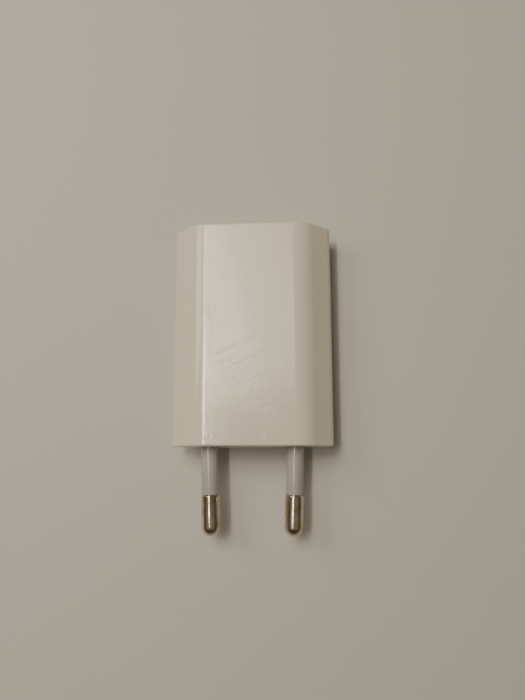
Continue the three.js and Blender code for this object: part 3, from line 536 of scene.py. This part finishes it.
def finish_object(name, mesh, finish, body, stands_for, sharp):
    """Smooths a mesh, gives it its material, and ties the object to its body and nodes."""
    mesh.shade_smooth()
    mesh.set_sharp_from_angle(angle=math.radians(sharp))
    mesh.materials.clear()
    for one in finish if isinstance(finish, (list, tuple)) else [finish]:
        mesh.materials.append(one)
    made = bpy.data.objects.new(name, mesh)
    bpy.context.scene.collection.objects.link(made)
    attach(made, body)
    if stands_for:
        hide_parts(*stands_for)
    return made


def soften(node, name, finish, edge=0.05, body=BODY, sharp=35):
    """A copy of a CAD node with its triangles merged to flat faces and a fine round on every sharp edge."""
    shape = bmesh.new()
    shape.from_mesh(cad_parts[node].data)
    bmesh.ops.remove_doubles(shape, verts=shape.verts, dist=1e-6)
    bmesh.ops.dissolve_limit(
        shape, angle_limit=math.radians(0.5), verts=shape.verts, edges=shape.edges
    )
    mesh = bpy.data.meshes.new(name)
    shape.to_mesh(mesh)
    shape.free()
    made = finish_object(name, mesh, finish, body, [node], sharp)
    rounding = made.modifiers.new("edge_round", "BEVEL")
    rounding.width = edge * MM
    rounding.segments = 2
    rounding.limit_method = "ANGLE"
    rounding.angle_limit = math.radians(40)
    rounding.harden_normals = True
    return made


def refinish(made, finish, where):
    """Gives a second finish to the faces whose centres, in millimetres, lie where the test says."""
    mesh = made.data
    centres = np.empty(len(mesh.polygons) * 3)
    mesh.polygons.foreach_get("center", centres)
    mesh.materials.append(finish)
    picked = where(centres.reshape(-1, 3) / MM)
    mesh.polygons.foreach_set("material_index", picked.astype(np.int32) * (len(mesh.materials) - 1))


def box_mm(node):
    """A node's lowest and highest corners in millimetres."""
    return (np.array(corner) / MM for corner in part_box(node))


def paint(node, finish):
    """Gives a CAD node its finish."""
    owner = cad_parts[node]
    if not owner.material_slots:
        owner.data.materials.append(finish)
    for slot in owner.material_slots:
        slot.material = finish


def on_pin(rings, side):
    """Leans rings about Z as the pins lean, and moves them to the pin on that side."""
    lean = -side * PIN_LEAN
    turned = rings.copy()
    x, y = rings[..., 0], rings[..., 1]
    turned[..., 0] = x * math.cos(lean) - y * math.sin(lean) + side * PIN_SPACING / 2
    turned[..., 1] = x * math.sin(lean) + y * math.cos(lean)
    return turned


# ---------- Settings ----------


class ChargerSettings(bpy.types.PropertyGroup):
    """Sizes and colours of the charger's finish"""

    end_round: FloatProperty(
        name="End round", description="Round of the case's two ends", default=0.4 * MM, unit="LENGTH"
    )
    port_round: FloatProperty(
        name="Port round", description="Round of the port's edge", default=0.3 * MM, unit="LENGTH"
    )
    rim_round: FloatProperty(
        name="Seam round", description="Round of the base's edge", default=0.12 * MM, unit="LENGTH"
    )
    case_colour: FloatVectorProperty(
        name="Case", description="White of the case", subtype="COLOR", default=linear("#E4DED1")
    )
    base_colour: FloatVectorProperty(
        name="Base", description="White of the plug base", subtype="COLOR", default=linear("#E4E0D7")
    )
    sleeve_colour: FloatVectorProperty(
        name="Sleeves", description="Grey of the pin sleeves", subtype="COLOR", default=linear("#B2B0AD")
    )
    pin_colour: FloatVectorProperty(
        name="Pins", description="Nickel plate", subtype="COLOR", default=linear("#D2C8B8")
    )
    board_colour: FloatVectorProperty(
        name="Board", description="Solder mask", subtype="COLOR", default=linear("#2F7A45")
    )


class StageSettings(bpy.types.PropertyGroup):
    """Light and floor of the stage"""

    floor_colour: FloatVectorProperty(
        name="Floor", description="Pale floor", subtype="COLOR", default=linear("#C9C8C5")
    )
    lamp_power: FloatProperty(
        name="Lamp", description="Power of the main lamp, above left", default=0.62, unit="POWER"
    )
    panel_power: FloatProperty(
        name="Panel", description="Power of the panel that the front mirrors", default=1.12, unit="POWER"
    )
    near_power: FloatProperty(
        name="Near panel", description="Power of the panel that the pins mirror", default=0.17, unit="POWER"
    )
    left_power: FloatProperty(
        name="Left panel", description="Power of the lower panel on the left", default=0.2, unit="POWER"
    )
    sky: FloatProperty(name="Sky", description="Strength of the even surrounding light", default=0.08)


def settings():
    return bpy.context.scene.charger


# ---------- Operators ----------


class CHARGER_OT_case(bpy.types.Operator):
    """Make the white case with its port"""

    bl_idname = "charger.case"
    bl_label = "Case"

    def execute(self, context):
        own = settings()
        edge, port_edge, seam = own.end_round / MM, own.port_round / MM, own.rim_round / MM
        rows = [(RIM, PLATE + 0.1), (RIM, PLATE / 2)]
        rows += arc((RIM - seam, seam), seam, 0, -90, 4).tolist()
        rows += [(RIM - seam - 0.03, 0), (edge + 0.03, 0)]
        rows += arc((edge, edge), edge, 270, 180, 6).tolist()
        rows += [(0, edge + 0.2), (0, LENGTH / 2), (0, LENGTH - edge - 0.2)]
        rows += arc((edge, LENGTH - edge), edge, 180, 90, 6).tolist()
        rows += [(edge + 0.05, LENGTH)]
        rings = [ring(body_loop(inset), y) for inset, y in rows]
        outer, inner = body_loop(edge + 0.05), port_loop(port_edge)
        rings += [ring(outer + (inner - outer) * w, LENGTH) for w in (0.5, 0.97)]
        mouth = arc((port_edge, LENGTH - port_edge), port_edge, 90, 180, 6)
        rings += [ring(port_loop(grow), y) for grow, y in mouth]
        rings += [ring(port_loop(0), LENGTH - END_WALL + 0.05), ring(port_loop(0), LENGTH - END_WALL)]
        rings += [ring(body_loop(WALL), y) for y in (LENGTH - END_WALL, LENGTH / 2, PLATE + 0.1)]
        skins = [skin(np.array(rings), closed=True)]
        for sign in (-1, 1):
            for near, far, low, high, start in (BOARD_RAIL, LOWER_RIB):
                x = sorted((sign * near, sign * far))
                block = rounded_block((x[0], start, low), (x[1], RAIL_END, high), RIB_ROUND)
                skins.append(skin(block, caps=True))
            z = sorted((sign * SOCKET_STOP_Z[0], sign * SOCKET_STOP_Z[1]))
            low, high = (-SOCKET_STOP_X, SOCKET_STOP_Y[0], z[0]), (SOCKET_STOP_X, SOCKET_STOP_Y[1], z[1])
            skins.append(skin(rounded_block(low, high, RIB_ROUND), caps=True))
        build("case", skins, case_plastic(own.case_colour), stands_for=["case_shell"])
        return {"FINISHED"}


class CHARGER_OT_base(bpy.types.Operator):
    """Make the plug base that closes the case and holds the pins"""

    bl_idname = "charger.base"
    bl_label = "Plug base"

    def half_outline(self, inset):
        """The right half of the body's outline, from the bottom centre round to the top centre."""
        loop = body_loop(inset, straight=22)
        steps = 12
        bottom, top = loop[5], loop[1]
        right = np.concatenate([loop[6], loop[7], loop[0], top[:steps]])
        flat = np.linspace(0, 1, 12)[1:, None]
        upper = top[steps - 1] + (np.array([0.0, top[steps - 1, 1]]) - top[steps - 1]) * flat
        start = np.array([0.0, loop[6, 0, 1]])
        lower = start + (loop[6, 0] - start) * np.linspace(0, 1, 12)[:-1, None]
        return np.concatenate([lower, right, upper])

    def execute(self, context):
        own = settings()
        seam = own.rim_round / MM
        inset = RIM + PART_LINE
        middle = np.linspace(1, -1, 26)[1:-1, None] * np.array([0.0, HALF_HEIGHT - inset])
        hole = SLEEVE_RADIUS + 0.08
        skins = []

        def face(edge, y, radius, sign):
            """A flat ring between the hole's circle and the half outline."""
            outline = np.concatenate([self.half_outline(edge), middle])
            centre = np.array([PIN_SPACING / 2 + y * math.tan(PIN_LEAN), 0.0])
            ray = outline - centre
            circle = centre + radius * ray / np.linalg.norm(ray, axis=1, keepdims=True)
            loops = [circle + (outline - circle) * w for w in (0, 0.04, 0.5, 0.985, 1)]
            return np.array([ring(loop * (sign, 1), y) for loop in loops])

        for sign in (-1, 1):
            front = face(inset + seam, 0.0, hole + 0.06, sign)
            back = face(inset, PLATE, hole, sign)
            wall = arc((inset + seam, seam), seam, 270, 180, 3).tolist()
            wall += [(inset, seam + 0.05), (inset, PLATE)]
            side = np.array([ring(self.half_outline(i) * (sign, 1), y) for i, y in wall])
            throat = face(inset + seam, 0.06, hole, sign)[0]
            skins.append(skin(front))
            skins.append(skin(back))
            skins.append(skin(side, around=False))
            skins.append(skin(np.array([front[0], throat, back[0]])))
            boss = turn([(2.1, PLATE - 0.05), (3.4, PLATE - 0.05), (3.4, 4.3), (3.3, 4.4), (2.1, 4.4)])
            skins.append(skin(on_pin(boss, sign), closed=True))
        skirt = [(1.9, PLATE - 0.05), (1.9, 4.5), (2.0, 4.6), (2.8, 4.6), (2.9, 4.5), (2.9, PLATE - 0.05)]
        skins.append(skin(np.array([ring(body_loop(i), y) for i, y in skirt]), closed=True))
        web = rounded_block((-6.5, PLATE - 0.05, -0.5), (6.5, 3.6, 0.5), 0.15)
        skins.append(skin(web, caps=True))
        build("base", skins, base_plastic(own.base_colour), stands_for=["plug_base"])
        return {"FINISHED"}


class CHARGER_OT_pins(bpy.types.Operator):
    """Make the two nickelled pins, with round tips"""

    bl_idname = "charger.pins"
    bl_label = "Pins"

    def execute(self, context):
        own = settings()
        finish = nickel_plate(own.pin_colour)
        shoulder = -SLEEVE_REACH - 0.1
        tip = arc((0, -PIN_REACH + PIN_RADIUS), PIN_RADIUS, -90, 0, 16)
        profile = tip.tolist()
        profile += [(PIN_RADIUS, -14), (PIN_RADIUS, shoulder - 0.27)]
        profile += arc((PIN_RADIUS - 0.2, shoulder - 0.2), 0.2, 0, 90, 4).tolist()
        profile += [(1.35, shoulder), (1.35, 1.8), (2.5, 1.8), (2.5, 2.9), (1.8, 2.9), (1.8, 4.6)]
        profile += [(1.1, 4.6), (1.1, 5.25), (1.5, 5.25), (1.45, 5.45), (1.2, 5.6), (0, 5.6)]
        for line, side in (("live", -1), ("neutral", 1)):
            skins = [skin(on_pin(turn(profile, 64), side))]
            build(f"{line}_contact_pin", skins, finish, stands_for=[f"{line}_pin"])
        return {"FINISHED"}


class CHARGER_OT_sleeves(bpy.types.Operator):
    """Make the insulating sleeves on the pins"""

    bl_idname = "charger.sleeves"
    bl_label = "Pin sleeves"

    def execute(self, context):
        finish = sleeve_plastic(settings().sleeve_colour)
        end, inside = -SLEEVE_REACH, 1.45
        profile = [(inside, end + 0.05), (inside + 0.05, end), (SLEEVE_RADIUS - 0.15, end)]
        profile += arc((SLEEVE_RADIUS - 0.1, end + 0.1), 0.1, 280, 360, 4).tolist()
        profile += [(SLEEVE_RADIUS, -5), (SLEEVE_RADIUS, 0.9), (2.5, 0.9), (2.5, 1.7), (inside, 1.7)]
        for line, side in (("live", -1), ("neutral", 1)):
            skins = [skin(on_pin(turn(profile, 64), side), closed=True)]
            build(f"{line}_sleeve", skins, finish, stands_for=[f"{line}_pin_sleeve"])
        return {"FINISHED"}


class CHARGER_OT_usb_socket(bpy.types.Operator):
    """Make the USB socket: steel shell, insulator and contacts"""

    bl_idname = "charger.usb_socket"
    bl_label = "USB socket"

    def execute(self, context):
        steel = stamped_metal("tin_plated_steel", linear("#B9BBBD"))
        gold = stamped_metal("gold_plated_phosphor_bronze", linear("#D9B257"), 0.14, 0.3)
        tongue = moulded_plastic("white_moulded_lcp", linear("#E6E3DA"), 0.35, 0.5)
        soften("usb_shell", "socket_shell", steel, 0.06)
        soften("usb_insulator", "socket_insulator", tongue, 0.06)
        for number in (1, 2, 3, 4):
            spring = f"usb_contact_spring_{number}"
            tail = f"usb_contact_tail_{number}"
            soften(spring, f"contact_spring_{number}", gold, 0.03, f"contact_{number}")
            soften(tail, f"contact_tail_{number}", gold, 0.03)
        return {"FINISHED"}


class CHARGER_OT_board(bpy.types.Operator):
    """Finish the circuit board, the pin lugs and the insulation film"""

    bl_idname = "charger.board"
    bl_label = "Circuit board"

    def execute(self, context):
        paint("circuit_board", solder_mask(settings().board_colour))
        paint("insulation_film", clear_film(linear("#D9DCD6")))
        brass = stamped_metal("stamped_brass", linear("#C2A15A"))
        for line in ("live", "neutral"):
            soften(f"{line}_pin_lug", f"{line}_lug", brass, 0.04)
        return {"FINISHED"}


class CHARGER_OT_capacitors(bpy.types.Operator):
    """Make the four electrolytic capacitors: cans with a rolled groove, and bungs with leads"""

    bl_idname = "charger.capacitors"
    bl_label = "Electrolytic capacitors"

    def execute(self, context):
        can = stamped_metal("extruded_aluminium_can", linear("#C8CACC"), 0.24, 0.4)
        rubber = moulded_plastic("moulded_rubber_bung", linear("#2C2A28"), 0.6, 0.8)
        tin = tinned_lead()
        for size in ("bulk", "output"):
            for number in (1, 2):
                node = f"{size}_capacitor_{number}_can"
                low, high = box_mm(node)
                self.can(node, low, high, can)
                bung = f"{size}_capacitor_{number}_bung"
                made = soften(bung, f"{bung}_and_leads", rubber, 0.04)
                start = low[1] + 0.1
                refinish(made, tin, lambda centre, y=start: centre[:, 1] < y)
        return {"FINISHED"}

    def can(self, node, low, high, finish):
        """A cup turned about Y: a rolled lip, a round groove that grips the bung, and a round closed end
        with a shallow dish."""
        x, z = (low[0] + high[0]) / 2, (low[2] + high[2]) / 2
        radius, start, end = (high[0] - low[0]) / 2, low[1], high[1]
        lip = [(radius - 0.3, start + 1.8), (radius - 0.3, start + 0.15)]
        lip += arc((radius - 0.15, start + 0.15), 0.15, 180, 360, 6).tolist()
        groove = arc((radius + 0.18, start + 2.3), 0.43, 245, 115, 8).tolist()
        shoulder = arc((radius - 0.5, end - 0.5), 0.5, 0, 90, 6).tolist()
        dish = [(radius - 0.9, end), (radius - 1.2, end - 0.15), (0, end - 0.15)]
        profile = [(0, start + 1.8)] + lip + [(radius, start + 1.7)] + groove + [(radius, start + 2.9)]
        profile += [(radius, end - 0.7)] + shoulder + dish
        skins = [skin(turn(profile, 48) + (x, 0, z))]
        build(node.replace("_can", ""), skins, finish, stands_for=[node])


class CHARGER_OT_transformer(bpy.types.Operator):
    """Finish the transformer: cores, bobbin, windings and tape"""

    bl_idname = "charger.transformer"
    bl_label = "Transformer"

    def execute(self, context):
        ferrite = sintered_ferrite(linear("#45464A"))
        bobbin = moulded_plastic("moulded_phenolic_bobbin", linear("#26262A"), 0.35, 0.5)
        tin = tinned_lead()
        wire = enamelled_wire("enamelled_wire_on_bobbin", linear("#B8703E"), 0.35, "Y")
        tape = polyester_tape(linear("#E8C640"))
        for side in ("plug", "usb"):
            soften(f"transformer_core_{side}_side", f"ferrite_{side}_half", ferrite, 0.12)
        made = soften("transformer_bobbin", "bobbin", bobbin, 0.06)
        refinish(made, tin, lambda centre: centre[:, 2] < BOARD_TOP)
        soften("primary_winding", "primary_coil", wire, 0.1)
        soften("secondary_winding", "secondary_coil", tape, 0.15)
        soften("transformer_tape", "core_tape", tape, 0.03)
        return {"FINISHED"}


class CHARGER_OT_leaded_parts(bpy.types.Operator):
    """Finish the choke, the Y capacitor and the fusible resistor"""

    bl_idname = "charger.leaded_parts"
    bl_label = "Leaded parts"

    def execute(self, context):
        tin = tinned_lead()
        made = soften("choke_core", "choke_drum", sintered_ferrite(linear("#3C3D40")), 0.04)
        refinish(made, tin, lambda centre: centre[:, 2] < BOARD_TOP + 0.09)
        wire = enamelled_wire("enamelled_wire_on_drum", linear("#B8703E"), 0.4, "Z")
        soften("choke_winding", "choke_coil", wire, 0.1)
        dip = moulded_plastic("blue_epoxy_dip", linear("#2F6FAE"), 0.15, 0.3, 0.6, 0.02)
        made = soften("y_capacitor", "disc_capacitor", dip, 0.1)
        refinish(made, tin, lambda centre: centre[:, 2] < BOARD_TOP + 0.35)
        coat = moulded_plastic("green_resistor_enamel", linear("#5F8A6A"), 0.3, 0.45, 0.3, 0.01)
        made = soften("fusible_resistor", "fuse_resistor", coat, 0.1)
        low, high = box_mm("fusible_resistor")
        refinish(made, tin, lambda centre: (centre[:, 1] < low[1] + 1.4) | (centre[:, 1] > high[1] - 1.4))
        return {"FINISHED"}


class CHARGER_OT_chips(bpy.types.Operator):
    """Finish the packages and chip parts on the board"""

    bl_idname = "charger.chips"
    bl_label = "Packages and chips"

    def execute(self, context):
        epoxy = moulded_plastic("moulded_epoxy_package", linear("#222326"), 0.5, 0.7, 0.08, 0.01)
        ceramic = moulded_plastic("fired_chip_ceramic", linear("#B9A483"), 0.45, 0.6, 0.1)
        tin = tinned_lead()
        packages = {"bridge_rectifier": (9, 2.36), "controller_ic": (1.96, 9)}
        packages |= {"switching_transistor": (9, 2.41), "output_rectifier": (9, 2.11)}
        off_middle = {"switching_transistor": -0.5, "output_rectifier": -0.05}
        pale = ["clamp_capacitor", "clamp_resistor", "sense_resistor", "supply_capacitor"]
        pale += ["startup_resistor_1", "startup_resistor_2", "feedback_resistor_1", "feedback_resistor_2"]
        pale += ["output_ceramic_capacitor", "data_resistor_1", "data_resistor_2"]
        for node, body in packages.items():
            edge = 0.02 if node in off_middle else 0.06
            made = soften(node, f"{node}_package", epoxy, edge)
            self.bare_ends(node, made, tin, body, off_middle.get(node, 0))
        for node in ("clamp_diode", "supply_diode"):
            made = soften(node, f"{node}_package", epoxy, 0.05)
            self.bare_ends(node, made, tin, (9, 0.9))
        for node in pale:
            made = soften(node, f"{node}_chip", ceramic, 0.015)
            low, high = box_mm(node)
            across = high[0] - low[0] > high[1] - low[1]
            half = (high[0] - low[0] if across else high[1] - low[1]) / 2
            self.bare_ends(node, made, tin, (half * 0.7, 9) if across else (9, half * 0.7))
        return {"FINISHED"}

    def bare_ends(self, node, made, metal, body, off_middle=0):
        """Bare metal on the faces further from the body's middle than its half width and half length. The
        body's middle is off_middle from the box's along Y."""
        low, high = box_mm(node)
        middle, body = (low + high)[:2] / 2 + (0, off_middle), np.array(body)
        refinish(made, metal, lambda centre: (np.abs(centre[:, :2] - middle) > body).any(axis=1))


class CHARGER_OT_stage(bpy.types.Operator):
    """Set the floor, the lights and the camera"""

    bl_idname = "charger.stage"
    bl_label = "Stage"

    def execute(self, context):
        own = context.scene.charger_stage
        self.floor(own.floor_colour)
        warm = linear("#FFF1DA")
        high = LIGHT_HEIGHT
        panel = own.panel_power
        edge = panel * PANEL_EDGE_SHARE
        self.light("lamp", (-0.121, 0.03, high), (0.02, 0.2), own.lamp_power, warm, (0, 0.02, 0), 0)
        self.light("panel", (-0.135, 0.172, high), (0.15, 0.24), panel, warm, (-0.135, 0.172, 0), 12)
        self.light("panel_edge", (-0.03, 0.194, high), (0.065, 0.24), edge, warm, (-0.03, 0.194, 0), 12)
        self.light("near_panel", (0, -0.16, high), (1.2, 0.26), own.near_power, warm, (0, -0.16, 0), 0)
        self.light("left_panel", (-0.2, 0.12, 0.22), (0.12, 0.13), own.left_power, warm, (0, 0.035, 0), 0)
        world = bpy.data.worlds.new("studio")
        world.use_nodes = True
        background = world.node_tree.nodes["Background"]
        background.inputs["Color"].default_value = (*linear("#FFF3E4"), 1)
        background.inputs["Strength"].default_value = own.sky
        context.scene.world = world
        self.camera(context)
        return {"FINISHED"}

    def floor(self, colour):
        """A round sheet just under the case's back that sweeps up into a wall: flat to the radius FLAT,
        then the quarter circle (r, z) = (FLAT + R sin b, R - R cos b), then a short upright rim, all turned
        about Z."""
        b = np.linspace(0, np.pi / 2, 13)
        sweep = FLOOR_FLAT + FLOOR_SWEEP * np.sin(b)
        r = np.concatenate([[0.001, 0.1, 0.3], sweep, [FLOOR_FLAT + FLOOR_SWEEP]])[:, None]
        z = np.concatenate([[0, 0, 0], FLOOR_SWEEP * (1 - np.cos(b)), [FLOOR_SWEEP + FLOOR_RIM]])[:, None]
        a = 2 * np.pi * np.arange(FLOOR_SIDES) / FLOOR_SIDES
        rows = np.stack([r * np.cos(a), r * np.sin(a), z + 0 * a], axis=-1)
        points, faces = skin(rows + (0, 0, CASE_LOW.z))
        faces.append(list(range(FLOOR_SIDES))[::-1])
        mesh = bpy.data.meshes.new("floor")
        mesh.from_pydata(points.tolist(), [], faces)
        mesh.flip_normals()
        mesh.shade_smooth()
        mesh.materials.append(floor_paper(colour))
        sheet = bpy.data.objects.new("floor", mesh)
        bpy.context.scene.collection.objects.link(sheet)

    def facing(self, place, right, back):
        """The place and turn of a camera or light: local Z along back, and local X as near right as it can
        be."""
        back = back.normalized()
        up = back.cross(right).normalized()
        turned = Matrix((up.cross(back), up, back)).transposed().to_4x4()
        return Matrix.Translation(place) @ turned

    def light(self, name, place, size, power, colour, aim, roll):
        """A rectangular soft light that looks at the point aim. Its width runs along X, turned by roll
        degrees towards Y."""
        data = bpy.data.lights.new(name, "AREA")
        data.shape = "RECTANGLE"
        data.size, data.size_y = size
        data.energy = power
        data.color = colour
        made = bpy.data.objects.new(name, data)
        back = Vector(place) - Vector(aim)
        right = Vector((math.cos(math.radians(roll)), math.sin(math.radians(roll)), 0))
        made.matrix_world = self.facing(place, right, back)
        made.visible_camera = False
        bpy.context.scene.collection.objects.link(made)

    def camera(self, context):
        """The view from above the front, a little below the middle, with the pins pointing down."""
        data = bpy.data.cameras.new("camera")
        data.sensor_width = 36
        data.lens = 33.1
        made = bpy.data.objects.new("camera", data)
        right = Vector((0.9976, -0.0018, -0.0690))
        back = Vector((0.0676, -0.1767, 0.9819))
        made.matrix_world = self.facing((0.01205, -0.00405, 0.14205), right, back)
        context.scene.collection.objects.link(made)
        context.scene.camera = made


OPERATORS = (
    CHARGER_OT_case,
    CHARGER_OT_base,
    CHARGER_OT_pins,
    CHARGER_OT_sleeves,
    CHARGER_OT_usb_socket,
    CHARGER_OT_board,
    CHARGER_OT_capacitors,
    CHARGER_OT_transformer,
    CHARGER_OT_leaded_parts,
    CHARGER_OT_chips,
    CHARGER_OT_stage,
)


class CHARGER_PT_panel(bpy.types.Panel):
    """The charger's settings and operators"""

    bl_idname = "CHARGER_PT_panel"
    bl_label = "USB wall charger"
    bl_space_type = "VIEW_3D"
    bl_region_type = "UI"
    bl_category = "Charger"

    def draw(self, context):
        for group in (context.scene.charger, context.scene.charger_stage):
            for name in group.__annotations__:
                self.layout.prop(group, name)
        for operator in OPERATORS:
            self.layout.operator(operator.bl_idname)


CLASSES = (ChargerSettings, StageSettings, *OPERATORS, CHARGER_PT_panel)


def register():
    for one in CLASSES:
        bpy.utils.register_class(one)
    bpy.types.Scene.charger = PointerProperty(type=ChargerSettings)
    bpy.types.Scene.charger_stage = PointerProperty(type=StageSettings)


def unregister():
    del bpy.types.Scene.charger_stage
    del bpy.types.Scene.charger
    for one in reversed(CLASSES):
        bpy.utils.unregister_class(one)


def main():
    register()
    bpy.ops.charger.case()
    bpy.ops.charger.base()
    bpy.ops.charger.pins()
    bpy.ops.charger.sleeves()
    bpy.ops.charger.usb_socket()
    bpy.ops.charger.board()
    bpy.ops.charger.capacitors()
    bpy.ops.charger.transformer()
    bpy.ops.charger.leaded_parts()
    bpy.ops.charger.chips()
    bpy.ops.charger.stage()


if __name__ == "__main__":
    main()
